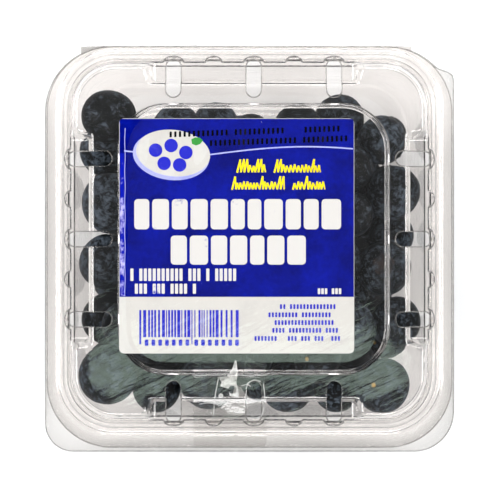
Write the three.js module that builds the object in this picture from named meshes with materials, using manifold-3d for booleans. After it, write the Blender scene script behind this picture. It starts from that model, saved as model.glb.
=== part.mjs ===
// A shut clear clamshell punnet of blueberries, with a printed label and a strip of clear tape on its lid.
// Millimetres, +Z up, x to the right of the lid, y to the hinge at the back. z = 0 is what it stands on.

import * as THREE from 'three';
import { mergeVertices } from 'three/addons/utils/BufferGeometryUtils.js';
import Module from 'manifold-3d';

const wasm = await Module();
wasm.setup();

// The whole pack. Distances across are measured from the middle of the lid's top.
const WALL = 0.6;
const GAP = 0.3;

// The flanges that meet round the rim, and the beads pressed into them
const TUB_RIM_Z = 25;
const LID_FLANGE = 52.8;
const TUB_FLANGE = 53.3;
const LID_FRONT = 53.8;
const TUB_FRONT = 54.9;
const HINGE_Y = 51;
const HINGE_BACK = HINGE_Y - GAP / 2;
const FLANGE_CORNER = 17;
const BEAD_OUT = 50.3;
const BEAD_IN = 48.2;
const BEAD_SLOPE = 0.7;
const LID_BEAD_RISE = 1.3;
const TUB_BEAD_RISE = 0.7;

// The corner tabs of the tub's flange, which stick out past the lid's round corners
const FRONT_LEFT_TAB = 7.3;
const FRONT_RIGHT_TAB = 10.4;

// The folded hinge strip along the back
const HINGE_LEFT = 44;
const HINGE_RIGHT = 42.3;

// The tub: a foot ring round a raised floor, and walls that lean out
const FLOOR_RISE = 1.2;
const FLOOR_PANEL = 34;
const FLOOR_CORNER = 9;
const FOOT_IN = 35.4;
const FOOT_OUT = 40.4;
const TUB_LOW = 42.2;
const TUB_HIGH = 46.2;
const TUB_CORNER = 12;
const TUB_STEP_Z = 20.5;
const TUB_NECK = 47.2;

// The slanted tab that the tub's flange has outside its back right corner
const BACK_TAB = [
  [50.5, 33.7], [53.3, 33.7], [53.3, 42.6], [52.9, 43.5], [52.2, 44], [47.9, 45.5],
  [47.3, 45], [48.4, 43.3], [49.6, 40.8], [50.3, 37.5],
];

// The lid: walls, a flat top, a sunk ledge at the middle of each side and a raised middle panel
const LID_WALL_LOW = 47.3;
const LID_WALL_HIGH = 46.2;
const LID_TOP = 44.6;
const LID_TOP_Z = 34.8;
const LID_CORNER = 10;
const LEDGE_Z = 31.2;
const LEDGE_IN = 41.5;
const LEDGE_TOP = 40.2;
const LEDGE_HALF = 27.4;
const LEDGE_END_SLOPE = 1.2;
const PANEL_FOOT = 34.8;
const PANEL_TOP = 33.8;
const PANEL_CORNER = 12;
const PANEL_Z = 36.6;

// The panel and the vent slots lie a little to the right and to the back of the lid's middle
const SHIFT_X = 1.1;
const SHIFT_Y = 0.5;

// The vent slots, three to a side in the lid and two in the floor, by their places along the side
const SLOT_WIDTH = 4;
const LID_SLOTS = [-20.8, 0, 20.8];
const FLOOR_SLOTS = [-10, 10];
const SLOT_IN = 36.6;
const SLOT_OUT = 44.4;
const FLOOR_SLOT_IN = 21;
const FLOOR_SLOT_OUT = 31.5;

// The label and the tape
const LABEL_SIZE = 60.6;
const LABEL_X = -3.3;
const LABEL_Y = 1.3;
const LABEL_CORNER = 1.3;
const LABEL_THICK = 0.2;
const LABEL_LIFT = 0.1;
const TAPE_WIDTH = 19;
const TAPE_X = -5.1;
const TAPE_THICK = 0.2;
const TAPE_LIFT = 0.2;
const TAPE_START = 29.8;

// The berries that show round the label: x, y and diameter
const SHOWN_BERRIES = [
  [-37.2, 33.4, 14.4], [-38.0, 22.6, 13.0], [-36.9, 10.4, 16.0], [-38.1, -5.2, 14.6],
  [-37.0, -19.0, 14.6], [-30.4, -21.4, 12.4], [-36.8, -37.2, 16.0],
  [-26.2, -38.6, 12.8], [-11.6, -38.2, 14.8], [9.8, -38.2, 13.4], [22.2, -38.2, 12.8],
  [34.2, -37.6, 14.8], [36.6, -21.4, 13.6], [27.2, -20.2, 12.4], [34.6, -7.8, 14.6],
  [37.6, 14.0, 15.0], [33.6, 23.6, 13.2], [27.0, 19.0, 12.4], [26.2, 7.8, 12.0],
  [24.4, 30.4, 13.8], [12.6, 28.6, 12.8], [-9.8, 29.4, 12.6], [-18.6, 29.4, 12.8],
];
const BERRY_SEED = 20;
const DRAW_STEP = 16807;
const DRAW_LIMIT = 2147483647;
const BERRY_LEAST = 6.4;
const BERRY_SPREAD = 1.2;
const BERRY_FLAT = 0.84;
const BERRY_CLEAR = 0.3;
const BERRY_FACETS = 1;
const SHOWN_LEAN = 0.6;

// The hidden layers, on a loose grid: a row and column pitch, where the grid starts, and how far in
const BERRY_LAYERS = [{ z: 8, inset: 0, shift: 0 }, { z: 17.5, inset: 12, shift: 3.5 }];
const GRID_HALF = 3;
const COLUMN_PITCH = 14.1;
const ROW_PITCH = 12.267;
const COLUMN_START = -0.25;
const ROW_START = -3;
const GRID_JITTER = 2.4;
const BACK_INSET = 0.6;
const HEAP_FRONT = -40;
const HEAP_BACK = 33.5;
const SHOWN_BACK = 39.8;
const HEAP_SIDE = 40;

// The few on top in the middle, on a small circle and a wide one
const TOP_BERRIES = 8;
const TOP_REACH = [5, 16, 16];
const TOP_TURN = 0.3;
const TOP_X = -3;
const TOP_Z = 29;

// How the berries settle, and the slope of the line that joins the ledge to the lid's top
const SETTLE_STEPS = 260;
const SETTLE_FALL = 0.4;
const SLOW_FROM = 0.6;
const SLOW_SHARE = 0.2;
const SETTLE_PASSES = 3;
const PIN_PULL = 0.5;
const LEDGE_LEAN = 0.717;

// The hidden core that holds the heap together, and the bars to the berries it doesn't reach
const CORE_RINGS = [[32, 5.5], [35.5, 8.5], [35.5, 19], [28, 23]];
const CORE_Y = -2.3;
const CORE_CORNER = 6;
const CORE_HOLD = 0.05;
const LINK_WIDTH = 2.6;

const CORNER_STEPS = 4;
const SLOT_END_STEPS = 4;

const QUARTER = Math.PI / 2;
const SIDE_STOPS = [
  -LEDGE_HALF - LEDGE_END_SLOPE, -LEDGE_HALF + LEDGE_END_SLOPE,
  LEDGE_HALF - LEDGE_END_SLOPE, LEDGE_HALF + LEDGE_END_SLOPE,
];

function even(reach) {
  return [reach, reach, reach, reach];
}

// One closed row of points round a rounded square, the same number on every ring. reach holds the
// distances to the right, back, left and front sides, and corners the radii between them. Where dip
// is given, the middle of each side lies at dip.reach and dip.z instead, as on the lid's ledges.
function ring(reach, corners, z, dip) {
  const points = [];
  for (let side = 0; side < 4; side += 1) {
    const turn = side * QUARTER;
    const before = reach[(side + 3) % 4] - corners[(side + 3) % 4];
    const after = reach[(side + 1) % 4] - corners[side];
    const place = (out, along, height) => points.push([
      out * Math.cos(turn) - along * Math.sin(turn),
      out * Math.sin(turn) + along * Math.cos(turn),
      height,
    ]);
    for (const stop of SIDE_STOPS) {
      const straight = stop < 0 ? before : after;
      const along = stop * Math.min(1, straight / (LEDGE_HALF + 2 * LEDGE_END_SLOPE));
      const inDip = dip && Math.abs(stop) < LEDGE_HALF;
      place(inDip ? dip.reach : reach[side], along, inDip ? dip.z : z);
    }
    for (let step = 0; step <= CORNER_STEPS; step += 1) {
      const angle = (step / CORNER_STEPS) * QUARTER;
      const radius = corners[side];
      place(reach[side] - radius + radius * Math.cos(angle), after + radius * Math.sin(angle), z);
    }
  }
  return points;
}

// A closed body through rings that run from the middle of its underside, out over its edge and back
// to the middle of its top, closed at both ends by a fan of triangles
function shell(rings) {
  const count = rings[0].length;
  const positions = rings.flat(2);
  const low = rings.length * count;
  const high = low + 1;
  positions.push(0, 0, rings[0][0][2], 0, 0, rings[rings.length - 1][0][2]);
  const faces = [];
  for (let i = 0; i < count; i += 1) {
    const next = (i + 1) % count;
    faces.push(low, next, i);
    for (let r = 0; r + 1 < rings.length; r += 1) {
      const a = r * count;
      const b = a + count;
      faces.push(a + i, b + next, b + i, a + i, a + next, b + next);
    }
    const top = (rings.length - 1) * count;
    faces.push(high, top + i, top + next);
  }
  const geometry = new THREE.BufferGeometry();
  geometry.setAttribute('position', new THREE.Float32BufferAttribute(positions, 3));
  geometry.setIndex(faces);
  return geometry;
}

function toSolid(source) {
  const bare = source.clone();
  bare.deleteAttribute('normal');
  bare.deleteAttribute('uv');
  const merged = mergeVertices(bare);
  return new wasm.Manifold(new wasm.Mesh({
    numProp: 3,
    vertProperties: new Float32Array(merged.attributes.position.array),
    triVerts: new Uint32Array(merged.index.array),
  }));
}

function toGeometry(solid) {
  const mesh = solid.getMesh();
  const geometry = new THREE.BufferGeometry();
  geometry.setAttribute('position', new THREE.BufferAttribute(mesh.vertProperties, 3));
  geometry.setIndex(new THREE.BufferAttribute(mesh.triVerts, 1));
  return geometry;
}

// An upright bar with round ends, from inner to outer along the outward line of one side
function slotCutter(side, along, inner, outer, low, high) {
  const radius = SLOT_WIDTH / 2;
  const outline = new THREE.Shape();
  outline.absarc(outer - radius, along, radius, -QUARTER, QUARTER, false);
  outline.absarc(inner + radius, along, radius, QUARTER, 3 * QUARTER, false);
  outline.closePath();
  const bar = new THREE.ExtrudeGeometry(outline, {
    depth: high - low, bevelEnabled: false, curveSegments: SLOT_END_STEPS,
  });
  bar.translate(0, 0, low);
  bar.rotateZ(side * QUARTER);
  return toSolid(bar);
}

function cutSlots(solid, places, inner, outer, low, high, shift = [0, 0]) {
  let cut = solid;
  for (let side = 0; side < 4; side += 1) {
    for (const along of places) {
      const cutter = slotCutter(side, along, inner, outer, low, high);
      cut = cut.subtract(cutter.translate([...shift, 0]));
    }
  }
  return cut;
}

// Each flange's half of the hinge strip: from the bead back to the fold, and square-ended where the
// flange's own corners round away
function hingeLip(low) {
  const middle = TUB_NECK - TUB_CORNER;
  const radius = BEAD_OUT + GAP / 2 - middle;
  const outline = new THREE.Shape();
  outline.moveTo(HINGE_RIGHT, HINGE_BACK);
  outline.lineTo(-HINGE_LEFT, HINGE_BACK);
  const leftEnd = Math.acos((middle - HINGE_LEFT) / radius);
  const rightEnd = Math.acos((HINGE_RIGHT - middle) / radius);
  outline.absarc(-middle, middle, radius, leftEnd, QUARTER, true);
  outline.absarc(middle, middle, radius, QUARTER, rightEnd, true);
  outline.closePath();
  const lip = new THREE.ExtrudeGeometry(outline, {
    depth: WALL, bevelEnabled: false, curveSegments: CORNER_STEPS,
  });
  lip.translate(0, 0, low);
  return toSolid(lip);
}

function backTab(low) {
  const outline = new THREE.Shape(BACK_TAB.map(([x, y]) => new THREE.Vector2(x, y)));
  const tab = new THREE.ExtrudeGeometry(outline, { depth: WALL, bevelEnabled: false });
  tab.translate(0, 0, low);
  return toSolid(tab);
}

// The rings of a bead, from the flange's outer part inwards. flat is the width of the bead's top.
function beadRings(z, rise, flat) {
  const corner = TUB_CORNER - TUB_NECK;
  const at = (reach, height) => ring(even(reach), even(corner + reach), height);
  const middle = (BEAD_OUT + BEAD_IN) / 2;
  const foot = flat / 2 + BEAD_SLOPE;
  const top = flat > 0 ? [at(middle + flat / 2, z + rise), at(middle - flat / 2, z + rise)]
    : [at(middle, z + rise)];
  return [at(middle + foot, z), ...top, at(middle - foot, z)];
}

function tubSolid() {
  const flangeReach = [TUB_FLANGE, HINGE_Y - GAP, TUB_FLANGE, TUB_FRONT];
  const flangeCorners = [FLANGE_CORNER, FLANGE_CORNER, FRONT_LEFT_TAB, FRONT_RIGHT_TAB];
  const at = (reach, z) => ring(even(reach), even(TUB_CORNER), z);
  const floor = (reach, z) => ring(even(reach), even(FLOOR_CORNER - FLOOR_PANEL + reach), z);
  const under = TUB_RIM_Z - WALL;
  const bead = beadRings(TUB_RIM_Z, TUB_BEAD_RISE, 0);
  const beadUnder = beadRings(under, TUB_BEAD_RISE, 0).reverse();
  const outside = [
    floor(FLOOR_PANEL, FLOOR_RISE), floor(FOOT_IN, 0),
    at(FOOT_OUT, 0), at(TUB_LOW, FLOOR_RISE + WALL),
    at(TUB_HIGH, TUB_STEP_Z), at(TUB_NECK, TUB_STEP_Z + WALL), at(TUB_NECK + WALL / 2, under),
    ...beadUnder, ring(flangeReach, flangeCorners, under),
  ];
  const inside = [
    ring(flangeReach, flangeCorners, TUB_RIM_Z), ...bead, at(TUB_NECK - WALL / 2, TUB_RIM_Z),
    at(TUB_NECK - WALL, TUB_STEP_Z + 2 * WALL), at(TUB_HIGH - WALL, TUB_STEP_Z + WALL),
    at(TUB_LOW - WALL, FLOOR_RISE + 2 * WALL), at(FOOT_OUT - WALL / 2, WALL),
    floor(FOOT_IN + WALL / 2, WALL), floor(FLOOR_PANEL + WALL / 2, FLOOR_RISE + WALL),
  ];
  const body = toSolid(shell([...outside, ...inside]));
  const slotted = cutSlots(body, FLOOR_SLOTS, FLOOR_SLOT_IN, FLOOR_SLOT_OUT, 0, FLOOR_RISE + 2 * WALL);
  return slotted.add(hingeLip(under)).add(backTab(under));
}

function lidSolid() {
  const low = TUB_RIM_Z + GAP;
  const flangeReach = [LID_FLANGE, HINGE_Y - GAP, LID_FLANGE, LID_FRONT];
  const at = (reach, z, dip) => ring(even(reach), even(LID_CORNER - LID_TOP + reach), z, dip);
  const panel = (reach, z) => ring(
    [reach + SHIFT_X, reach + SHIFT_Y, reach - SHIFT_X, reach - SHIFT_Y],
    even(PANEL_CORNER - PANEL_FOOT + reach), z,
  );
  const skin = (lift, inset) => [
    ring(flangeReach, even(FLANGE_CORNER), low + lift),
    ...beadRings(low + lift, LID_BEAD_RISE, BEAD_OUT - BEAD_IN - 2 * BEAD_SLOPE),
    at(LID_WALL_LOW - inset, low + lift),
    at(LID_WALL_HIGH - inset, LEDGE_Z - WALL + lift),
    at(LID_WALL_HIGH - inset - WALL, LID_TOP_Z - 2 * WALL,
      { reach: LID_WALL_HIGH - inset - WALL, z: LEDGE_Z - WALL + lift }),
    at(LID_TOP - inset, LID_TOP_Z - WALL + lift,
      { reach: LEDGE_IN - inset, z: LEDGE_Z - WALL + lift }),
    at(LEDGE_TOP - inset, LID_TOP_Z - WALL + lift),
    panel(PANEL_FOOT - inset / 2, LID_TOP_Z - WALL + lift),
    panel(PANEL_TOP - inset / 2, PANEL_Z - WALL + lift),
  ];
  const body = toSolid(shell([...skin(0, WALL).reverse(), ...skin(WALL, 0)]));
  const slotLow = LEDGE_Z - 2 * WALL;
  const slotted = cutSlots(body, LID_SLOTS, SLOT_IN, SLOT_OUT, slotLow, PANEL_Z, [SHIFT_X, SHIFT_Y]);
  return slotted.add(hingeLip(low));
}

function labelGeometry() {
  const half = LABEL_SIZE / 2;
  const straight = half - LABEL_CORNER;
  const outline = new THREE.Shape();
  outline.absarc(straight, straight, LABEL_CORNER, 0, QUARTER, false);
  outline.absarc(-straight, straight, LABEL_CORNER, QUARTER, 2 * QUARTER, false);
  outline.absarc(-straight, -straight, LABEL_CORNER, 2 * QUARTER, 3 * QUARTER, false);
  outline.absarc(straight, -straight, LABEL_CORNER, 3 * QUARTER, 4 * QUARTER, false);
  outline.closePath();
  return new THREE.ExtrudeGeometry(outline, {
    depth: LABEL_THICK, bevelEnabled: false, curveSegments: CORNER_STEPS,
  });
}

// The tape follows the lid from the panel to the front flange, bridging the sunk ledge
function tapeGeometry() {
  const panelZ = PANEL_Z + TAPE_LIFT;
  const topZ = LID_TOP_Z + TAPE_LIFT;
  const flangeZ = TUB_RIM_Z + GAP + WALL + TAPE_LIFT;
  const beadZ = flangeZ + LID_BEAD_RISE;
  const under = [
    [TAPE_START, panelZ], [PANEL_TOP - SHIFT_Y + TAPE_LIFT, panelZ],
    [PANEL_FOOT - SHIFT_Y + TAPE_LIFT, topZ],
    [LEDGE_TOP, topZ], [LID_WALL_HIGH + TAPE_LIFT, LEDGE_Z + TAPE_LIFT],
    [LID_WALL_LOW + TAPE_LIFT, flangeZ + TAPE_LIFT], [BEAD_IN + BEAD_SLOPE - TAPE_LIFT, beadZ],
    [BEAD_OUT - BEAD_SLOPE + TAPE_LIFT, beadZ], [BEAD_OUT + TAPE_LIFT, flangeZ],
    [LID_FRONT - TAPE_LIFT, flangeZ],
  ];
  const over = under.map(([y, z]) => [y + TAPE_THICK / 2, z + TAPE_THICK]).reverse();
  const outline = new THREE.Shape([...under, ...over].map(([y, z]) => new THREE.Vector2(y, z)));
  const strip = new THREE.ExtrudeGeometry(outline, { depth: TAPE_WIDTH, bevelEnabled: false });
  strip.rotateX(QUARTER);
  strip.rotateZ(-QUARTER);
  strip.translate(TAPE_X + TAPE_WIDTH / 2, 0, 0);
  return strip;
}

// A row of even draws between 0 and 1 that is the same each time
function seededDraws(seed) {
  let state = seed;
  return () => {
    state = (state * DRAW_STEP) % DRAW_LIMIT;
    return state / DRAW_LIMIT;
  };
}

// The shown berries in their places, two hidden layers on a loose grid, and a few on top in the middle
function scatterBerries(draw) {
  const berries = SHOWN_BERRIES.map(([x, y, wide]) => (
    { x, y, z: TUB_RIM_Z, radius: wide / 2, pin: [x, y] }
  ));
  for (const layer of BERRY_LAYERS) {
    for (let row = -GRID_HALF; row <= GRID_HALF; row += 1) {
      for (let column = -GRID_HALF; column <= GRID_HALF; column += 1) {
        const [moveX, moveY, size] = [draw(), draw(), draw()];
        const x = (column + Math.abs(row % 2) / 2 + COLUMN_START) * COLUMN_PITCH + layer.shift;
        const y = row * ROW_PITCH + ROW_START + layer.shift;
        const back = HEAP_BACK - BERRY_LEAST / 2 - layer.inset * BACK_INSET;
        const inside = Math.abs(x) <= HEAP_SIDE - layer.inset
          && y >= HEAP_FRONT + layer.inset && y <= back;
        if (inside) {
          berries.push({
            x: x + GRID_JITTER * (moveX - 0.5), y: y + GRID_JITTER * (moveY - 0.5), z: layer.z,
            radius: BERRY_LEAST + BERRY_SPREAD * size,
          });
        }
      }
    }
  }
  for (let i = 0; i < TOP_BERRIES; i += 1) {
    const angle = (i / TOP_BERRIES) * 4 * QUARTER + TOP_TURN;
    const reach = TOP_REACH[i % TOP_REACH.length];
    berries.push({
      x: reach * Math.cos(angle) + TOP_X, y: reach * Math.sin(angle), z: TOP_Z,
      radius: BERRY_LEAST + BERRY_SPREAD * draw(),
    });
  }
  return berries;
}

// Keeps a berry off the floor, the lid, the walls and the sunk ledges, and clear of the back wall
function holdInside(berry) {
  const { radius } = berry;
  const panelRoom = PANEL_TOP - SHIFT_X - WALL - radius;
  const underPanel = Math.max(Math.abs(berry.x), Math.abs(berry.y)) < panelRoom;
  const ceiling = (underPanel ? PANEL_Z : LID_TOP_Z) - WALL - BERRY_CLEAR - radius;
  const floor = FLOOR_RISE + WALL + BERRY_CLEAR + radius;
  berry.z = Math.min(Math.max(berry.z, floor), ceiling);
  berry.y = Math.min(berry.y, (berry.pin ? SHOWN_BACK : HEAP_BACK) - radius);

  const height = Math.min((berry.z - FLOOR_RISE) / (TUB_STEP_Z - FLOOR_RISE), 1);
  const corner = TUB_LOW + (TUB_HIGH - TUB_LOW) * height - WALL - TUB_CORNER;
  const room = TUB_CORNER - BERRY_CLEAR - radius;
  const nearX = Math.max(-corner, Math.min(corner, berry.x));
  const nearY = Math.max(-corner, Math.min(corner, berry.y));
  const [overX, overY] = [berry.x - nearX, berry.y - nearY];
  const past = Math.sqrt(overX * overX + overY * overY);
  if (past > room) {
    berry.x = nearX + (overX * room) / past;
    berry.y = nearY + (overY * room) / past;
  }

  const [leanOut, leanUp] = [Math.cos(LEDGE_LEAN), Math.sin(LEDGE_LEAN)];
  const ledge = leanOut * (LEDGE_IN - WALL) + leanUp * (LEDGE_Z - WALL) - BERRY_CLEAR;
  for (const [across, along] of [['x', 'y'], ['y', 'x']]) {
    const over = leanOut * Math.abs(berry[across]) + leanUp * berry.z + radius - ledge;
    if (over > 0 && Math.abs(berry[along]) < LEDGE_HALF + radius / 2) {
      berry[across] -= Math.sign(berry[across]) * leanOut * over;
      berry.z -= leanUp * over;
    }
  }
}

function pushApart(a, b) {
  const [x, y, z] = [b.x - a.x, b.y - a.y, b.z - a.z];
  const reach = a.radius + b.radius;
  const apart = Math.sqrt(x * x + y * y + z * z);
  if (apart < reach && apart > 0) {
    const share = (0.5 * (reach - apart)) / apart;
    a.x -= x * share;
    a.y -= y * share;
    a.z -= z * share;
    b.x += x * share;
    b.y += y * share;
    b.z += z * share;
  }
}

// The berries sink a little at a time and push each other apart until they lie as a heap
function settleBerries(berries) {
  for (let step = 0; step < SETTLE_STEPS; step += 1) {
    const fall = SETTLE_FALL * (step < SETTLE_STEPS * SLOW_FROM ? 1 : SLOW_SHARE);
    for (const berry of berries) {
      berry.z -= fall;
      if (berry.pin) {
        berry.x += (berry.pin[0] - berry.x) * PIN_PULL;
        berry.y += (berry.pin[1] - berry.y) * PIN_PULL;
      }
    }
    for (let pass = 0; pass < SETTLE_PASSES; pass += 1) {
      for (let i = 0; i < berries.length; i += 1) {
        for (let j = i + 1; j < berries.length; j += 1) {
          pushApart(berries[i], berries[j]);
        }
      }
      berries.forEach(holdInside);
    }
  }
  return berries;
}

// One berry, flattened along its own axis, which leans by tilt and points round by heading
function berrySolid(berry, tilt, heading) {
  const ball = new THREE.IcosahedronGeometry(berry.radius, BERRY_FACETS);
  ball.scale(1, 1, BERRY_FLAT);
  ball.rotateY(tilt);
  ball.rotateZ(heading);
  ball.translate(berry.x, berry.y, berry.z);
  return toSolid(ball);
}

function coreSolid() {
  const rings = CORE_RINGS.map(([reach, z]) => (
    ring([reach, reach + CORE_Y, reach, reach + CORE_Y], even(CORE_CORNER), z)
  ));
  return toSolid(shell(rings)).translate([0, CORE_Y, 0]);
}

// A thin bar inside a berry and the nearest one that lies further in, so that the two are one body
function linkSolid(berry, berries) {
  const centre = (b) => new THREE.Vector3(b.x, b.y, b.z);
  const heart = new THREE.Vector3(0, CORE_Y, CORE_RINGS[1][1]);
  const inner = berries.filter((b) => heart.distanceTo(centre(b)) < heart.distanceTo(centre(berry)));
  const gap = (b) => centre(b).distanceTo(centre(berry)) - b.radius;
  const nearest = inner.reduce((best, b) => (gap(b) < gap(best) ? b : best));
  const reach = centre(nearest).sub(centre(berry));
  const bar = new THREE.BoxGeometry(LINK_WIDTH, LINK_WIDTH, reach.length());
  bar.applyQuaternion(new THREE.Quaternion().setFromUnitVectors(
    new THREE.Vector3(0, 0, 1), reach.clone().normalize(),
  ));
  const middle = centre(berry).addScaledVector(reach, 0.5);
  bar.translate(middle.x, middle.y, middle.z);
  return toSolid(bar);
}

// The part of a fused mesh with the greatest volume, without loose scraps and the hollows sealed inside
function outerSkin(geometry) {
  const index = geometry.index.array;
  const group = Array.from({ length: geometry.attributes.position.count }, (_, i) => i);
  const find = (i) => {
    let root = i;
    while (group[root] !== root) {
      group[root] = group[group[root]];
      root = group[root];
    }
    return root;
  };
  for (let i = 0; i < index.length; i += 3) {
    group[find(index[i + 1])] = find(index[i]);
    group[find(index[i + 2])] = find(index[i]);
  }
  const volumes = new Map();
  const faces = new Map();
  const corner = (i) => new THREE.Vector3().fromBufferAttribute(geometry.attributes.position, index[i]);
  for (let i = 0; i < index.length; i += 3) {
    const root = find(index[i]);
    const volume = corner(i).dot(corner(i + 1).cross(corner(i + 2))) / 6;
    volumes.set(root, (volumes.get(root) ?? 0) + volume);
    faces.set(root, [...(faces.get(root) ?? []), index[i], index[i + 1], index[i + 2]]);
  }
  const [largest] = [...volumes].reduce((best, next) => (next[1] > best[1] ? next : best));
  geometry.setIndex(faces.get(largest));
  return geometry;
}

function heapGeometry() {
  const draw = seededDraws(BERRY_SEED);
  const berries = settleBerries(scatterBerries(draw));
  const core = coreSolid();
  let heap = core;
  for (const berry of berries) {
    const tilt = berry.pin ? 2 * QUARTER - SHOWN_LEAN * draw() : Math.acos(1 - 2 * draw());
    const fruit = berrySolid(berry, tilt, 4 * QUARTER * draw());
    const held = core.intersect(fruit).volume() > CORE_HOLD * fruit.volume();
    heap = heap.add(fruit);
    if (!held) heap = heap.add(linkSolid(berry, berries));
  }
  return outerSkin(toGeometry(heap));
}

function mesh(name, geometry, colour, roughness, opacity = 1) {
  const material = new THREE.MeshStandardMaterial({
    color: colour, roughness, metalness: 0, opacity, transparent: opacity < 1,
  });
  const piece = new THREE.Mesh(geometry, material);
  piece.name = name;
  return piece;
}

const tub = mesh('tub', toGeometry(tubSolid()), '#e6e3e0', 0.08, 0.3);
const berries = mesh('berries', heapGeometry(), '#303439', 0.6);
const lid = mesh('lid', toGeometry(lidSolid()), '#e6e3e0', 0.08, 0.3);
const label = mesh('label', labelGeometry(), '#0b28a8', 0.35);
label.position.set(LABEL_X, LABEL_Y, PANEL_Z + LABEL_LIFT);
const tape = mesh('seal_tape', tapeGeometry(), '#f2f2f0', 0.15, 0.3);

// The outer box's middle lies a little in front of the middle of the lid's top
const punnet = new THREE.Group();
punnet.add(tub, berries, lid, label, tape);
punnet.position.y = (TUB_FRONT - HINGE_BACK) / 2;

export default punnet;
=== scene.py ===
import math
import random

import bmesh
import bpy
import numpy as np
from mathutils import Matrix, Vector
from mathutils.kdtree import KDTree


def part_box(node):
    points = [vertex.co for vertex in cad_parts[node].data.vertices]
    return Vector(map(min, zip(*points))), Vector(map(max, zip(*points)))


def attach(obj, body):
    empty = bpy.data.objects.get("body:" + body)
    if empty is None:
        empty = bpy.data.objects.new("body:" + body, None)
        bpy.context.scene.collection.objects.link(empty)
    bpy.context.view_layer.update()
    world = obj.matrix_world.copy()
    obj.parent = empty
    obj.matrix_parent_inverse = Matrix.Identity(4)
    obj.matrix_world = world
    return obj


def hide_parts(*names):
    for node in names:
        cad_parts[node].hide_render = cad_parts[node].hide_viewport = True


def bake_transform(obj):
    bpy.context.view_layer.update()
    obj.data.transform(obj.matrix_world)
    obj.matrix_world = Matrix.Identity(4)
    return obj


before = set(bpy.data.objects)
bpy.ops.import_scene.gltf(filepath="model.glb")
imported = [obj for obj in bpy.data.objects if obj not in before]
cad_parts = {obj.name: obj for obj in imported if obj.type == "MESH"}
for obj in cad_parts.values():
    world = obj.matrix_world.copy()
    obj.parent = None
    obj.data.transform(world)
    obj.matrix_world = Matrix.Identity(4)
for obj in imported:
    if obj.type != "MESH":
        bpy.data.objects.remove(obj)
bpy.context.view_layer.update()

scene = bpy.context.scene

# The tub: a square bowl of clear PET film, vacuum-formed from one sheet with the lid. It stands
# on a foot ring round a raised floor with drain slots, its walls lean out to a neck and a flat
# flange with a pressed bead, and the flange's corners are left as tabs to pull it open by.
MM = 0.001
LID_MIDDLE_Y = 2.025
FILM = 0.35
EDGE_ROLL = 0.16

TUB_RIM_UNDER = 24.4
TUB_FLANGE = [53.3, 50.7, 53.3, 54.9]
TUB_FLANGE_CORNERS = [17.0, 17.0, 7.3, 10.4]
BACK_TAB = [(53.3, 33.7), (53.3, 42.6), (52.9, 43.5), (52.2, 44.0), (47.9, 45.5)]
TUB_CORNER = 12.0
FLOOR_RISE = 1.2
SIDE_STRAIGHT = 34.6
SIDE_STEPS = 84
CORNER_STEPS = 24


def linear(code):
    """A colour as painters write it, turned to the light that it stands for"""
    parts = [int(code[i:i + 2], 16) / 255 for i in (1, 3, 5)]
    return [*(c / 12.92 if c <= 0.04045 else ((c + 0.055) / 1.055) ** 2.4 for c in parts), 1.0]


def node(tree, kind, inputs=None, **settings):
    """A shader node with its settings, whose inputs take values or other nodes' outputs"""
    made = tree.nodes.new("ShaderNode" + kind)
    for key, value in settings.items():
        setattr(made, key, value)
    for socket, value in (inputs or {}).items():
        if isinstance(value, bpy.types.Node):
            value = value.outputs[0]
        if isinstance(value, bpy.types.NodeSocket):
            tree.links.new(value, made.inputs[socket])
        else:
            made.inputs[socket].default_value = value
    return made


def new_material(name):
    """A material, its empty tree, and the place on the object that its patterns follow"""
    material = bpy.data.materials.new(name)
    material.use_nodes = True
    tree = material.node_tree
    tree.nodes.clear()
    return material, tree, node(tree, "TexCoord").outputs["Object"]


def in_scene(name, data, material=None):
    if material:
        data.materials.append(material)
    made = bpy.data.objects.new(name, data)
    scene.collection.objects.link(made)
    return made


def piece(name, points, faces, material, smooth=True):
    """A mesh object from points in mm, measured from the middle of the lid"""
    mesh = bpy.data.meshes.new(name)
    spots = np.asarray(points, dtype=float) + [0, LID_MIDDLE_Y, 0]
    mesh.from_pydata((spots * MM).tolist(), [], faces)
    if smooth:
        mesh.shade_smooth()
    return in_scene(name, mesh, material)


def face_out(made, weld=None):
    """Turns the faces of a closed piece outwards, welding points that lie together"""
    work = bmesh.new()
    work.from_mesh(made.data)
    if weld:
        bmesh.ops.remove_doubles(work, verts=work.verts, dist=weld)
    bmesh.ops.recalc_face_normals(work, faces=work.faces)
    work.to_mesh(made.data)
    work.free()


def mark(made, name, values):
    """Keeps a value at each point of a piece, for its material to read"""
    made.data.attributes.new(name, "FLOAT", "POINT").data.foreach_set("value", values)


def row(reach, z, corner=TUB_CORNER, flute=0.0):
    """One line round the pack: how far out each side is, its height, corner radii and fluting"""
    reaches = reach if isinstance(reach, list) else [reach] * 4
    corners = corner if isinstance(corner, list) else [corner] * 4
    return np.array([*reaches, z, *corners, flute])


def rounded(rows, cuts, steps=3):
    """The rows with a small curve drawn at each bend, cut mm long to either side"""
    made = [rows[0]]
    for before, here, after, cut in zip(rows, rows[1:], rows[2:], cuts):
        back, on = before - here, after - here
        near = here + back * min(0.45, cut / max(np.hypot(back[0], back[4]), 1e-6))
        far = here + on * min(0.45, cut / max(np.hypot(on[0], on[4]), 1e-6))
        for i in range(steps + 1):
            t = i / steps
            made.append((1 - t) ** 2 * near + 2 * t * (1 - t) * here + t * t * far)
    return np.array([*made, rows[-1]])


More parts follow.
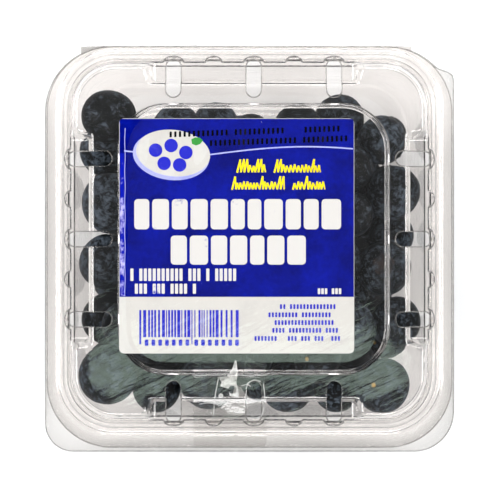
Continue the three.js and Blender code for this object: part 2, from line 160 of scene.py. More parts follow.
def film_grid(plain, ledge=None, ledge_half=27.0, ledge_slope=1.4, flutes=(), flute_reach=0.0,
              shift=(0.0, 0.0)):
    """Points of a pressed film: rows from its edge to its middle, columns right round the pack"""
    grid = []
    for side in range(4):
        turn = side * math.pi / 2
        slide = (shift[1], -shift[0], -shift[1], shift[0])[side]
        stops = list(np.linspace(-1, 1, SIDE_STEPS + 1))
        for place, half in flutes:
            middle, wide = (place + slide) / SIDE_STRAIGHT, half / SIDE_STRAIGHT
            stops = [t for t in stops if abs(t - middle) > wide + 0.004]
            stops += [middle + wide * math.sin(a) for a in np.linspace(-1.5, 1.5, 17)]
        spots = [(t, None) for t in sorted(stops)]
        spots += [(1.0, a) for a in np.linspace(0, math.pi / 2, CORNER_STEPS + 1)[1:-1]]
        for t, angle in spots:
            along_wall = t * SIDE_STRAIGHT
            lines = plain
            if ledge is not None and angle is None:
                edge = abs(along_wall - slide) - ledge_half
                edge = min(max(edge / ledge_slope * 0.5 + 0.5, 0), 1)
                share = edge * edge * (3 - 2 * edge)
                lines = plain * share + ledge * (1 - share)
            out = lines[:, side].copy()
            corner = lines[:, 5 + side]
            after = lines[:, (side + 1) % 4] - corner
            before = lines[:, (side + 3) % 4] - lines[:, 5 + (side + 3) % 4]
            if angle is None:
                along = t * (after if t >= 0 else before)
                for place, half in flutes:
                    swell = max(0.0, 1 - ((along_wall - slide - place) / half) ** 2) ** 0.5
                    out = out + lines[:, 9] * swell * np.maximum(flute_reach - out, 0)
            else:
                out = out - corner + corner * math.cos(angle)
                along = after + corner * math.sin(angle)
            grid.append(np.stack([
                out * math.cos(turn) - along * math.sin(turn),
                out * math.sin(turn) + along * math.cos(turn),
                lines[:, 4],
            ], axis=1))
    return np.array(grid).transpose(1, 0, 2)


def film_shell(name, grid):
    """A closed shell: the grid is its outer face, and the inner face lies a film's thickness in"""
    across = np.roll(grid, -1, axis=1) - np.roll(grid, 1, axis=1)
    down = np.gradient(grid, axis=0)
    normal = np.cross(across, down)
    normal /= np.linalg.norm(normal, axis=2, keepdims=True)
    rows, columns = grid.shape[:2]
    count = rows * columns
    points = np.concatenate([grid.reshape(-1, 3), (grid + normal * FILM).reshape(-1, 3)])
    faces = []
    for r in range(rows - 1):
        for c in range(columns):
            a, b = r * columns + c, r * columns + (c + 1) % columns
            faces.append((a, b, b + columns, a + columns))
            faces.append((a + count, a + columns + count, b + columns + count, b + count))
    faces += [((c + 1) % columns, c, c + count, (c + 1) % columns + count) for c in range(columns)]
    last = (rows - 1) * columns
    faces.append(tuple(last + c for c in range(columns)))
    faces.append(tuple(last + count + c for c in reversed(range(columns))))
    made = piece(name, points, faces, pet_film)
    face_out(made)
    normal = normal.reshape(-1, 3)
    return made, (points + [0, LID_MIDDLE_Y, 0]) * MM, np.concatenate([-normal, normal])


def smooth_as_pressed(film, points, normals):
    """Shades a cut film by the form it was pressed to, with crisp edges where it was cut"""
    tree = KDTree(len(points))
    for i, point in enumerate(points):
        tree.insert(point, i)
    tree.balance()
    mesh = film.data
    pressed = [Vector(normals[tree.find(v.co)[1]]) for v in mesh.vertices]
    split = []
    for face in mesh.polygons:
        for vert in face.vertices:
            lies_in = pressed[vert].dot(face.normal) > 0.7
            split.append(pressed[vert] if lies_in else face.normal.copy())
    mesh.shade_smooth()
    mesh.normals_split_custom_set(split)


def mark_film(film, amount, glare_from=None, glare_to=None):
    """Marks the thick scuffed rim, the frosted tabs, and a painted highlight on the steps on the left
    and right
    """
    spots = np.empty(len(film.data.vertices) * 3)
    film.data.vertices.foreach_get("co", spots)
    spots = np.abs(spots.reshape(-1, 3) / MM - [0, LID_MIDDLE_Y, 0])
    reach = spots[:, :2].max(axis=1)
    painted_glare = np.zeros(len(spots))
    # Painted highlight: the steps of the left and right ledges are marked for milky white that stands
    # in for the lamps' glare on them
    if glare_from:
        level = (spots[:, 2] > glare_from[1]) & (spots[:, 2] < glare_to[1])
        front_or_back = (spots[:, 1] > 38) & (spots[:, 0] < 32)
        painted_glare[level & (reach > glare_from[0]) & (reach < glare_to[0]) & ~front_or_back] = 1.0
    mark(film, "painted_glare", painted_glare)
    corner = np.hypot(*np.maximum(spots[:, :2] - 35, 0).T)
    rim = np.maximum(np.clip((reach - 49.8) / 0.8, 0, 1), np.clip((corner - 15.2) / 0.8, 0, 1))
    mark(film, "rim", rim * amount)
    mark(film, "frost", np.clip((corner - 17.6) / 1.2, 0, 1))


def slot_outline(side, along, inner, outer, width, shift=(0, 0), steps=12):
    """A slot's round-ended outline: x, y and how far out each point lies from the middle"""
    radius = width / 2
    turn = side * math.pi / 2
    inner += shift[side % 2] * (1 if side < 2 else -1)
    along += (shift[1], -shift[0], -shift[1], shift[0])[side]
    outline = []
    for end, start in ((outer - radius, -math.pi / 2), (inner + radius, math.pi / 2)):
        for i in range(steps + 1):
            angle = start + math.pi * i / steps
            outline.append((end + radius * math.cos(angle), along + radius * math.sin(angle)))
    return [(x * math.cos(turn) - y * math.sin(turn), x * math.sin(turn) + y * math.cos(turn), x)
            for x, y in outline]


def slot_loops(slots, height):
    """Closed loops of points along slots' outlines, following the film's height"""
    loops = []
    for slot in slots:
        outline = slot_outline(*slot)
        loop = []
        for (x0, y0, r0), (x1, y1, r1) in zip(outline, outline[1:] + outline[:1]):
            parts = max(1, int(math.hypot(x1 - x0, y1 - y0) / 0.25))
            loop += [(x0 + (x1 - x0) * i / parts, y0 + (y1 - y0) * i / parts,
                      height(r0 + (r1 - r0) * i / parts)) for i in range(parts)]
        loops.append(np.array(loop))
    return loops


def edge_rolls(name, loops):
    """The thin roll that a hot knife leaves along a cut edge of the film"""
    points, faces = [], []
    for loop in loops:
        along = np.roll(loop, -1, axis=0) - np.roll(loop, 1, axis=0)
        along /= np.linalg.norm(along, axis=1, keepdims=True)
        level = np.cross(along, [0, 0, 1.0])
        level /= np.linalg.norm(level, axis=1, keepdims=True)
        up = np.cross(level, along)
        first, count = len(points), len(loop)
        for j in range(6):
            side = level * math.cos(j * math.pi / 3) + up * math.sin(j * math.pi / 3)
            points += (loop + EDGE_ROLL * side).tolist()
            a, b = first + j * count, first + (j + 1) % 6 * count
            faces += [(a + i, a + (i + 1) % count, b + (i + 1) % count, b + i) for i in range(count)]
    made = piece(name, points, faces, cut_edge)
    face_out(made)
    return made


def cut_slots(film, slots, low, high):
    """Punches round-ended slots through a film: each is (side, along, inner end, outer end, width)"""
    points, faces = [], []
    for slot in slots:
        first = len(points)
        outline = slot_outline(*slot)
        for z in (low, high):
            points += [(x, y, z) for x, y, _ in outline]
        size = len(outline)
        faces.append(tuple(first + i for i in reversed(range(size))))
        faces.append(tuple(first + size + i for i in range(size)))
        faces += [(first + i, first + (i + 1) % size, first + size + (i + 1) % size, first + size + i)
                  for i in range(size)]
    punch = piece("slot_punch", points, faces, film.data.materials[0], smooth=False)
    cut = film.modifiers.new("slots", "BOOLEAN")
    cut.object = punch
    cut.operation = "DIFFERENCE"
    cut.solver = "MANIFOLD"
    bpy.context.view_layer.update()
    shaped = bpy.data.meshes.new_from_object(
        film.evaluated_get(bpy.context.evaluated_depsgraph_get()))
    film.modifiers.clear()
    film.data = shaped
    bpy.data.objects.remove(punch)


def lit_through(tree, surface, tint):
    """The surface as the eye meets it, which lets lamplight and scattered light straight through"""
    ray = node(tree, "LightPath")
    soft_light = node(tree, "Math", {0: ray.outputs["Is Shadow Ray"],
                      1: ray.outputs["Is Diffuse Ray"]}, operation="MAXIMUM")
    let_through = node(tree, "BsdfTransparent", {"Color": linear(tint)})
    return node(tree, "MixShader", {0: soft_light, 1: surface, 2: let_through})


# Clear PET film: hard and bright, it mirrors lamps sharply and bends what lies behind its folds.
# Its faces are a little wavy where the sheet chilled unevenly on the mould.
pet_film, tree, place = new_material("PET_film_vacuum_formed")
waves = node(tree, "TexNoise", {"Vector": place, "Scale": 70.0, "Detail": 2.0})
stretch = node(tree, "Mapping", {"Vector": place, "Rotation": (0, 0, 0.45),
               "Scale": (7.0, 1.0, 1.0)}, vector_type="TEXTURE")
draw_lines = node(tree, "TexNoise", {"Vector": stretch, "Scale": 480.0, "Detail": 4.0})
wavy = node(tree, "Bump", {"Height": waves, "Strength": 0.12, "Distance": 0.0006})
wavy = node(tree, "Bump", {"Height": draw_lines, "Strength": 0.28, "Distance": 0.0001,
            "Normal": wavy})
rim = node(tree, "Attribute", attribute_name="rim").outputs["Fac"]
frost = node(tree, "Attribute", attribute_name="frost").outputs["Fac"]
tint = node(tree, "Mix", {"Factor": rim, 6: linear("#FDFAF8"), 7: linear("#FBF8F6")},
            data_type="RGBA")
tint = node(tree, "Mix", {"Factor": frost, 6: tint.outputs[2], 7: linear("#DBD9D7")},
            data_type="RGBA")
scuff = node(tree, "MapRange", {"Value": rim, "To Min": 0.03, "To Max": 0.12})
dots = node(tree, "TexVoronoi", {"Vector": place, "Scale": 1100.0})
dotted = node(tree, "Math", {0: dots, 1: frost}, operation="MULTIPLY")
wavy = node(tree, "Bump", {"Height": dotted, "Strength": 0.6, "Distance": 0.0003, "Normal": wavy})
glass = node(tree, "BsdfPrincipled", {"Base Color": tint.outputs[2], "Roughness": scuff,
             "IOR": 1.575, "Transmission Weight": 1.0, "Normal": wavy})
# Painted highlight: milky white mixed into the film on the left and right ledge steps, in place of the
# lamps' glare there
painted_glare = node(tree, "Attribute", attribute_name="painted_glare").outputs["Fac"]
uneven = node(tree, "MapRange", {"Value": draw_lines, "From Min": 0.3, "From Max": 0.7,
              "To Min": 0.6, "To Max": 0.9})
glare_share = node(tree, "Math", {0: painted_glare, 1: uneven}, operation="MULTIPLY")
glare_white = node(tree, "BsdfPrincipled", {"Base Color": linear("#F3F0EB"), "Roughness": 0.3,
             "IOR": 1.575, "Normal": wavy})
film_mix = node(tree, "MixShader", {0: glare_share, 1: lit_through(tree, glass, "#FEFEFE"),
                2: glare_white})
node(tree, "OutputMaterial", {"Surface": film_mix})

# The same film rolled to a bead where it was cut, its glass tinted grey as painted shade: the dark
# outline that bent light draws along a cut edge.
cut_edge, tree, place = new_material("PET_film_cut_edge")
uneven_edge_shade = node(tree, "TexNoise", {"Vector": place, "Scale": 500.0, "Detail": 2.0})
# Painted shade: a grey tint, uneven along its length, that darkens the outline of each cut edge
edge_painted_shade = node(tree, "Mix", {"Factor": uneven_edge_shade, 6: linear("#B5B2B0"), 7: linear("#E6E4E2")},
                 data_type="RGBA")
edge_glass = node(tree, "BsdfPrincipled", {"Base Color": edge_painted_shade.outputs[2], "Roughness": 0.08,
                  "IOR": 1.575, "Transmission Weight": 1.0})
node(tree, "OutputMaterial", {"Surface": edge_glass})

tub_rows = [
    row(TUB_FLANGE, TUB_RIM_UNDER, TUB_FLANGE_CORNERS),
    row(49.95, TUB_RIM_UNDER, 14.75),
    row(49.25, TUB_RIM_UNDER + 0.7, 14.05),
    row(48.55, TUB_RIM_UNDER, 13.35),
    row(47.5, TUB_RIM_UNDER),
    row(47.2, 21.1),
    row(46.2, 20.5),
    row(42.2, 1.8),
    row(40.4, 0.0),
    row(35.4, 0.0, 10.4),
    row(34.0, FLOOR_RISE, 9.0),
    row(31.5, FLOOR_RISE, 6.5),
]


def reach_tab(edge):
    """Draws the flange's edge out to the slanted tab outside its back right corner"""
    middle = np.array([TUB_FLANGE[0] - 17.0, TUB_FLANGE[1] - 17.0])
    for point in edge:
        ray = point[:2] - middle
        if ray.min() <= 0:
            continue
        far = 1.0
        for (x0, y0), (x1, y1) in zip(BACK_TAB, BACK_TAB[1:]):
            side = np.array([x1 - x0, y1 - y0])
            start = np.array([x0, y0]) - middle
            across = ray[0] * side[1] - ray[1] * side[0]
            t = (start[0] * side[1] - start[1] * side[0]) / across
            share = (start[0] * ray[1] - start[1] * ray[0]) / across
            if -0.001 <= share <= 1.001:
                far = max(far, t)
        point[:2] = middle + ray * far


tub_grid = film_grid(rounded(tub_rows, [0.35, 0.35, 0.35, 0.6, 0.5, 0.5, 1.3, 1.3, 0.7, 0.7]))
reach_tab(tub_grid[0])
tub, *pressed = film_shell("tub_film", tub_grid)
drain_slots = [(side, along, 21.0, 31.5, 4.0) for side in range(4) for along in (-10, 10)]
cut_slots(tub, drain_slots, 0, 2.4)
smooth_as_pressed(tub, *pressed)
mark_film(tub, 1.0)
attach(tub, "tub")
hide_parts("tub")
tub_loops = slot_loops(drain_slots, lambda out: FLOOR_RISE + FILM / 2)
tub_loops.append(tub_grid[0] + [0, 0, FILM / 2])
tub_edges = edge_rolls("tub_cut_edges", tub_loops)
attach(tub_edges, "tub")

# The blueberries: a loose heap of fresh fruit, 12 to 16 mm across, each a little flatter from
# crown to stem than round. They lie where they settled when the tub was filled, hard against
# the front and sides, with a clear strip behind them.
SHOWN_BERRIES = [
    [-37.2, 33.4, 14.4], [-38.0, 22.6, 13.0], [-36.9, 10.4, 16.0], [-38.1, -5.2, 14.6],
    [-37.0, -19.0, 14.6], [-30.4, -21.4, 12.4], [-36.8, -37.2, 16.0],
    [-26.2, -38.6, 12.8], [-11.6, -38.2, 14.8], [9.8, -38.2, 13.4], [22.2, -38.2, 12.8],
    [34.2, -37.6, 14.8], [36.6, -21.4, 13.6], [27.2, -20.2, 12.4], [34.6, -7.8, 14.6],
    [37.6, 14.0, 15.0], [33.6, 23.6, 13.2], [27.0, 19.0, 12.4], [26.2, 7.8, 12.0],
    [24.4, 30.4, 13.8], [12.6, 28.6, 12.8], [-9.8, 29.4, 12.6], [-18.6, 29.4, 12.8],
]
CROWN_UP = {14: Vector((-0.07, 0.21, 0.97))}
STEM_UP = {11: Vector((-0.42, 0.04, 0.9))}
BERRY_PITCH = 14.1
BERRY_LEAST = 6.4
BERRY_SPREAD = 1.2
BERRY_FLAT = 0.84
BERRY_CLEAR = 0.3
WALL = 0.6


def even_draws(state):
    while True:
        state = (state * 16807) % 2147483647
        yield state / 2147483647


def scattered_berries(draw):
    berries = [{"x": x, "y": y, "z": 25.0, "r": wide / 2, "pin": (x, y)}
               for x, y, wide in SHOWN_BERRIES]
    for height, inset, shift in ((8.0, 0.0, 0.0), (17.5, 12.0, 3.5)):
        for line in range(-3, 4):
            for column in range(-3, 4):
                move_x, move_y, size = next(draw), next(draw), next(draw)
                x = (column + 0.5 * abs(line % 2) - 0.25) * BERRY_PITCH + shift
                y = line * BERRY_PITCH * 0.87 - 3 + shift
                back = 33.5 - BERRY_LEAST / 2 - inset * 0.6
                if abs(x) <= 40 - inset and -40 + inset <= y <= back:
                    berries.append({"x": x + 2.4 * (move_x - 0.5), "y": y + 2.4 * (move_y - 0.5),
                                    "z": height, "r": BERRY_LEAST + BERRY_SPREAD * size,
                                    "pin": None})
    for i in range(8):
        angle = i / 8 * 2 * math.pi + 0.3
        reach = 16 if i % 3 else 5
        berries.append({"x": reach * math.cos(angle) - 3, "y": reach * math.sin(angle), "z": 29.0,
                        "r": BERRY_LEAST + BERRY_SPREAD * next(draw), "pin": None})
    return berries


def hold_inside(berry):
    """Keeps a berry off the floor, the lid, the walls and the sunk ledges"""
    r = berry["r"]
    under_panel = max(abs(berry["x"]), abs(berry["y"])) < 32.7 - WALL - r
    ceiling = (36.6 if under_panel else 34.8) - WALL - BERRY_CLEAR - r
    berry["z"] = min(max(berry["z"], FLOOR_RISE + WALL + BERRY_CLEAR + r), ceiling)
    berry["y"] = min(berry["y"], (39.8 if berry["pin"] else 33.5) - r)
    height = min((berry["z"] - FLOOR_RISE) / (20.5 - FLOOR_RISE), 1)
    corner = 42.2 + 4 * height - WALL - TUB_CORNER
    room = TUB_CORNER - BERRY_CLEAR - r
    near = [max(-corner, min(corner, berry[axis])) for axis in "xy"]
    over = [berry["x"] - near[0], berry["y"] - near[1]]
    past = math.hypot(*over)
    if past > room:
        berry["x"], berry["y"] = (near[i] + over[i] * room / past for i in (0, 1))
    out, up = math.cos(0.717), math.sin(0.717)
    ledge = out * (41.5 - WALL) + up * (31.2 - WALL) - BERRY_CLEAR
    for across, along in ("xy", "yx"):
        past = out * abs(berry[across]) + up * berry["z"] + r - ledge
        if past > 0 and abs(berry[along]) < 27.4 + r / 2:
            berry[across] -= math.copysign(out * past, berry[across])
            berry["z"] -= up * past


def push_apart(a, b):
    x, y, z = b["x"] - a["x"], b["y"] - a["y"], b["z"] - a["z"]
    reach = a["r"] + b["r"]
    if abs(x) > reach or abs(y) > reach:
        return
    apart = math.sqrt(x * x + y * y + z * z)
    if 0 < apart < reach:
        share = 0.5 * (reach - apart) / apart
        for berry, sign in ((a, -1), (b, 1)):
            berry["x"] += sign * x * share
            berry["y"] += sign * y * share
            berry["z"] += sign * z * share


def settled_berries(berries, steps=260, fall=0.4):
    for step in range(steps):
        sink = fall if step < steps * 0.6 else fall / 5
        for berry in berries:
            berry["z"] -= sink
            if berry["pin"]:
                berry["x"] += (berry["pin"][0] - berry["x"]) * 0.5
                berry["y"] += (berry["pin"][1] - berry["y"]) * 0.5
        for _ in range(3):
            for i, first in enumerate(berries):
                for second in berries[i + 1:]:
                    push_apart(first, second)
            for berry in berries:
                hold_inside(berry)
    return berries


LATITUDES = np.radians([0, 6, 11, 14.5, 17.5, 20, 22, 24, 26, 28.5, 32, 38, 46, 55, 65, 75, 86, 97,
                        108, 119, 130, 140, 150, 159, 167, 173, 177, 180])
MERIDIANS = np.linspace(0, 2 * math.pi, 37)[:-1]


def berry_form(radius, rng):
    """One berry round its own axis, crown up: a five-lobed crown, its cup and the stem's scar"""
    polar, around = np.meshgrid(LATITUDES, MERIDIANS, indexing="ij")
    degrees = np.degrees(polar)
    turn = rng.uniform(0, 2 * math.pi)
    lobes = np.cos(5 * around + turn)
    brim = rng.uniform(19, 24) * (1 + 0.07 * lobes)
    cup = np.clip((brim - 2 - degrees) / 7, 0, 1)
    lip = np.exp(-((degrees - brim) / 2.6) ** 2) * (0.6 + 0.4 * lobes)
    skirt = np.exp(-((degrees - brim - 7) / 4) ** 2)
    scar = np.exp(-((180 - degrees) / 8) ** 2)
    lean = sum(share * np.cos(waves * around - rng.uniform(0, 6.3)) * np.sin(polar) ** power
               for waves, share, power in ((1, 0.02, 2), (2, 0.018, 2), (3, 0.012, 3)))
    size = radius * (0.985 + lean - 0.17 * cup * cup * (3 - 2 * cup) + 0.055 * lip
                     - 0.012 * skirt - 0.04 * scar)
    points = np.stack([size * np.sin(polar) * np.cos(around),
                       size * np.sin(polar) * np.sin(around),
                       size * np.cos(polar) * BERRY_FLAT], axis=-1)
    crown = np.clip(lip * 1.2 + cup, 0, 1)
    return points, crown, scar


def turned(axis, spin):
    """The turn that lays a berry's crown axis along the given direction"""
    return np.array(axis.to_track_quat("Z", "Y").to_matrix() @ Matrix.Rotation(spin, 3, "Z"))


draw = even_draws(20)
heap = settled_berries(scattered_berries(draw))
rng = random.Random(7)
points, faces, crowns, scars, tones = [], [], [], [], []
rings, around = len(LATITUDES), len(MERIDIANS)
for index, berry in enumerate(heap):
    lean, heading = next(draw), 2 * math.pi * next(draw)
    tilt = math.pi - 0.6 * lean if berry["pin"] else math.acos(1 - 2 * lean)
    axis = Vector((math.sin(tilt) * math.cos(heading), math.sin(tilt) * math.sin(heading),
                   math.cos(tilt)))
    axis = CROWN_UP.get(index, axis)
    axis = -STEM_UP[index] if index in STEM_UP else axis
    form, crown, scar = berry_form(berry["r"], rng)
    first = len(points)
    laid = form.reshape(-1, 3) @ turned(axis, rng.uniform(0, 6.3)).T
    laid += [berry["x"], berry["y"], berry["z"]]
    points += laid.tolist()
    shows_scar = 0.0 if berry["pin"] and index not in STEM_UP else 1.0
    crowns += crown.ravel().tolist()
    scars += (scar * shows_scar).ravel().tolist()
    tones += [rng.random()] * form[..., 0].size
    for r in range(rings - 1):
        for c in range(around):
            a, b = first + r * around + c, first + r * around + (c + 1) % around
            faces.append((a, a + around, b + around, b))

# Ripe blueberry skin: near-black blue under a pale waxy bloom that handling has rubbed into
# patches, so it is matt and greyish where the bloom is left and darker with a soft sheen between.
berry_skin, tree, place = new_material("Blueberry_skin_with_bloom")
tone = node(tree, "Attribute", attribute_name="tone").outputs["Fac"]
crown = node(tree, "Attribute", attribute_name="crown").outputs["Fac"]
scar = node(tree, "Attribute", attribute_name="scar").outputs["Fac"]
patches = node(tree, "TexNoise", {"Vector": place, "Scale": 330.0, "Detail": 9.0,
               "Roughness": 0.78, "Distortion": 1.0})
speckle = node(tree, "TexNoise", {"Vector": place, "Scale": 850.0, "Detail": 6.0, "Roughness": 0.6})
worn = node(tree, "Math", {0: tone, 1: 0.1, 2: patches}, operation="MULTIPLY_ADD")
grain = node(tree, "Math", {0: speckle, 1: 0.5, 2: worn}, operation="MULTIPLY_ADD")
bloom = node(tree, "MapRange", {"Value": grain, "From Min": 0.79, "From Max": 1.0})
skin = node(tree, "Mix", {"Factor": bloom, 6: linear("#030405"), 7: linear("#545D68")},
            data_type="RGBA")
calyx = node(tree, "Mix", {"Factor": crown, 6: skin.outputs[2], 7: linear("#2A2422")},
             data_type="RGBA")
stem = node(tree, "MapRange", {"Value": scar, "From Min": 0.55, "From Max": 0.9})
marked = node(tree, "Mix", {"Factor": stem, 6: calyx.outputs[2], 7: linear("#A07B2E")},
              data_type="RGBA")
rough = node(tree, "MapRange", {"Value": bloom, "To Min": 0.5, "To Max": 0.78})
pores = node(tree, "Bump", {"Height": speckle, "Strength": 0.25, "Distance": 0.0001})
flesh = node(tree, "BsdfPrincipled", {"Base Color": marked.outputs[2], "Roughness": rough,
             "IOR": 1.38, "Specular IOR Level": 0.15, "Normal": pores})
node(tree, "OutputMaterial", {"Surface": flesh})

# The fruit deeper in the heap, in the shade of the rest, as one dark uneven body
CORE_STEPS = 120
CORE_RINGS = [(20, 3.0), (31, 5.0), (33.5, 9.0), (34, 15.0), (31, 19.0), (18, 21.0)]
core_first = len(points)
for r, (reach, z) in enumerate(CORE_RINGS):
    for c in range(CORE_STEPS):
        angle = 2 * math.pi * c / CORE_STEPS
        swell = 1.2 * math.sin(angle * 13 + r * 2.1) + 0.8 * math.sin(angle * 29 + r * 1.3)
        square = (abs(math.cos(angle)) ** 6 + abs(math.sin(angle)) ** 6) ** (-1 / 6)
        out = reach * square + swell
        y = out * math.sin(angle) - 4.6
        points.append((out * math.cos(angle), min(y, 26.0 + swell), z + 0.5 * swell))
for r in range(len(CORE_RINGS) - 1):
    ring = core_first + r * CORE_STEPS
    for c in range(CORE_STEPS):
        a, b = ring + c, ring + (c + 1) % CORE_STEPS
        faces.append((a, b, b + CORE_STEPS, a + CORE_STEPS))
faces.append(tuple(core_first + c for c in reversed(range(CORE_STEPS))))
faces.append(tuple(len(points) - CORE_STEPS + c for c in range(CORE_STEPS)))
for values in (crowns, scars, tones):
    values += [0.0] * (len(points) - core_first)

berries = piece("blueberries", points, faces, berry_skin)
mark(berries, "crown", crowns)
mark(berries, "scar", scars)
mark(berries, "tone", tones)
face_out(berries, weld=1e-7)
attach(berries, "tub")
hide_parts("berries")

# The lid: the other half of the same pressed sheet. Its walls rise from a beaded flange to a
# flat top with a raised middle panel, each side has a sunk ledge with three open vent slots,
# and half-round flutes in the walls stand round the slots and between them.
LID_FLANGE = [52.8, 50.7, 52.8, 53.8]
LID_FLANGE_Z = 25.9
LID_TOP_Z = 34.8
LEDGE_Z = 31.2
PANEL_Z = 36.6
LID_SLOTS = (-20.8, 0.0, 20.8)
LEDGE_STEP = (41.4, 40.4)
FLUTES = [(-20.8, 2.5), (-10.4, 2.0), (0.0, 2.5), (10.4, 2.0), (20.8, 2.5)]
SHIFT = (1.1, 0.5)


def lid_row(reach, z, flute=0.0):
    return row(reach, z, reach - SIDE_STRAIGHT, flute)


rim_rows = [
    row(LID_FLANGE, LID_FLANGE_Z, 17.0),
    row(50.3, LID_FLANGE_Z, 15.1),
    row(49.6, LID_FLANGE_Z + 1.3, 14.4),
    row(48.9, LID_FLANGE_Z + 1.3, 13.7),
    row(48.2, LID_FLANGE_Z, 13.0),
    lid_row(47.3, LID_FLANGE_Z, 1),
]
panel_rows = [
    row([reach + SHIFT[0], reach + SHIFT[1], reach - SHIFT[0], reach - SHIFT[1]], z, reach - 22.8)
    for reach, z in ((34.85, LID_TOP_Z), (34.6, 35.6), (34.15, 35.7), (33.8, PANEL_Z - 0.25),
                     (32.3, PANEL_Z), (30.0, PANEL_Z))
]
plain_rows = [
    *rim_rows, lid_row(47.0, 27.4, 1), lid_row(46.2, 31.2, 1), lid_row(45.9, 32.4),
    lid_row(45.6, 33.6), lid_row(44.6, LID_TOP_Z), lid_row(40.2, LID_TOP_Z), *panel_rows,
]
ledge_rows = [
    *rim_rows, lid_row(47.0, 27.4, 1), lid_row(46.2, LEDGE_Z, 1), lid_row(46.1, LEDGE_Z, 0.9),
    lid_row(45.8, LEDGE_Z), lid_row(LEDGE_STEP[0], LEDGE_Z), lid_row(LEDGE_STEP[1], LID_TOP_Z),
    *panel_rows,
]
rim_cuts, panel_cuts = [0.35, 0.35, 0.35, 0.35, 0.3], [0.12, 0.12, 0.12, 0.12, 0.6]
lid_grid = film_grid(
    rounded(plain_rows, [*rim_cuts, 0.3, 0.4, 0.2, 0.4, 0.45, 0.6, *panel_cuts]),
    rounded(ledge_rows, [*rim_cuts, 0.3, 0.1, 0.03, 0.1, 0.3, 0.3, *panel_cuts]),
    flutes=FLUTES, flute_reach=47.75, shift=SHIFT,
)
lid, *pressed = film_shell("lid_film", lid_grid)
vent_slots = [(side, along, 36.6, 47.2, 4.0, SHIFT) for side in range(4) for along in LID_SLOTS]
cut_slots(lid, vent_slots, 29.5, 36.0)
smooth_as_pressed(lid, *pressed)
# The last two arguments bound the ledge steps that get the painted highlight
mark_film(lid, 0.35, (40.0, 31.25), (41.6, 34.5))
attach(lid, "lid")
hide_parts("lid")


def ledge_height(out):
    """The middle of the film along a slot, from the sunk ledge up its step to the lid's top"""
    rise = min(max((LEDGE_STEP[0] - out) / (LEDGE_STEP[0] - LEDGE_STEP[1]), 0), 1)
    return LEDGE_Z + (LID_TOP_Z - LEDGE_Z) * rise - FILM / 2


lid_loops = slot_loops(vent_slots, ledge_height)
lid_loops.append(lid_grid[0] - [0, 0, FILM / 2])
lid_edges = edge_rolls("lid_cut_edges", lid_loops)
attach(lid_edges, "lid")

# The hinge: the strip of the same sheet left flat between the two halves, creased double along
# the back edge when the pack is shut, and cut square at both ends.
HINGE_LEFT = -44.0
HINGE_RIGHT = 42.3
FOLD_Y = 50.85
LIP_THICK = 0.26


def flange_back(x, side):
    """How far back a flange reaches at x, where it reaches so far out to the side"""
    past = max(abs(x) - (side - 17.0), 0)
    return 50.7 - 17.0 + math.sqrt(17.0 ** 2 - past ** 2)


points, faces = [], []
strip_x = np.linspace(HINGE_LEFT, HINGE_RIGHT, 90)
high, low = LID_FLANGE_Z - 0.05, TUB_RIM_UNDER + 0.05
turn_z, turn_r = (high + low) / 2, (high - low) / 2
bend = np.linspace(math.pi / 2, -math.pi / 2, 13)
for x in strip_x:
    lid_edge = flange_back(x, LID_FLANGE[0]) - 0.02
    tub_edge = flange_back(x, TUB_FLANGE[0]) - 0.02
    wave = 0.05 * math.sin(x * 0.31) + 0.03 * math.sin(x * 0.83 + 1)
    outer, inner = ([(lid_edge, high - thick),
                     *[(FOLD_Y - 0.2 + (turn_r * 0.75 - thick) * math.cos(a) + wave,
                        turn_z + (turn_r - thick) * math.sin(a)) for a in bend],
                     (tub_edge, low + thick)] for thick in (0, LIP_THICK))
    points += [(x, y, z) for y, z in (*outer, *inner[::-1])]
loop = len(points) // len(strip_x)
for i in range(len(strip_x) - 1):
    for j in range(loop):
        a, b = i * loop + j, i * loop + (j + 1) % loop
        faces.append((a, b, b + loop, a + loop))
faces.append(tuple(reversed(range(loop))))
faces.append(tuple(range((len(strip_x) - 1) * loop, len(strip_x) * loop)))
hinge = piece("hinge_fold", points, faces, pet_film)
hinge.data.set_sharp_from_angle(angle=math.radians(50))
worn = [0.9 if x < -12 else 0.25 for x in strip_x for _ in range(loop)]
mark(hinge, "frost", worn)
mark(hinge, "rim", [1.0] * len(worn))
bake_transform(hinge)

# The label: a square of glossy coated paper, printed a deep blue with a bare white foot, rounded
# at its corners and stuck flat on the lid's panel, where it has lifted in a faint crease.
label_low, label_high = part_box("label")
LABEL_LEFT = label_low.x / MM
LABEL_TOP = label_high.y / MM - LID_MIDDLE_Y
LABEL_SIZE = (label_high.x - label_low.x) / MM
LABEL_Z = label_low.z / MM - 0.04
LABEL_THICK = 0.16


def label_swell(u, v):
    """How far the label stands off the panel: faint ripples and one crease down from its top"""
    ripple = 0.02 * math.sin(u * 0.33 + 0.6) * math.sin(v * 0.27) + 0.012 * math.sin(u * 0.9 + v * 0.2)
    crease = 0.07 * math.exp(-((u - 37.0 - 0.03 * v) / 0.9) ** 2) * max(0.0, 1 - v / 27)
    return max(0.0, 0.03 + ripple + crease)


def label_spot(u, v):
    """The place on the label that lies u mm right of and v mm below its top left corner"""
    return LABEL_LEFT + u, LABEL_TOP - v, LABEL_Z + label_swell(u, v)


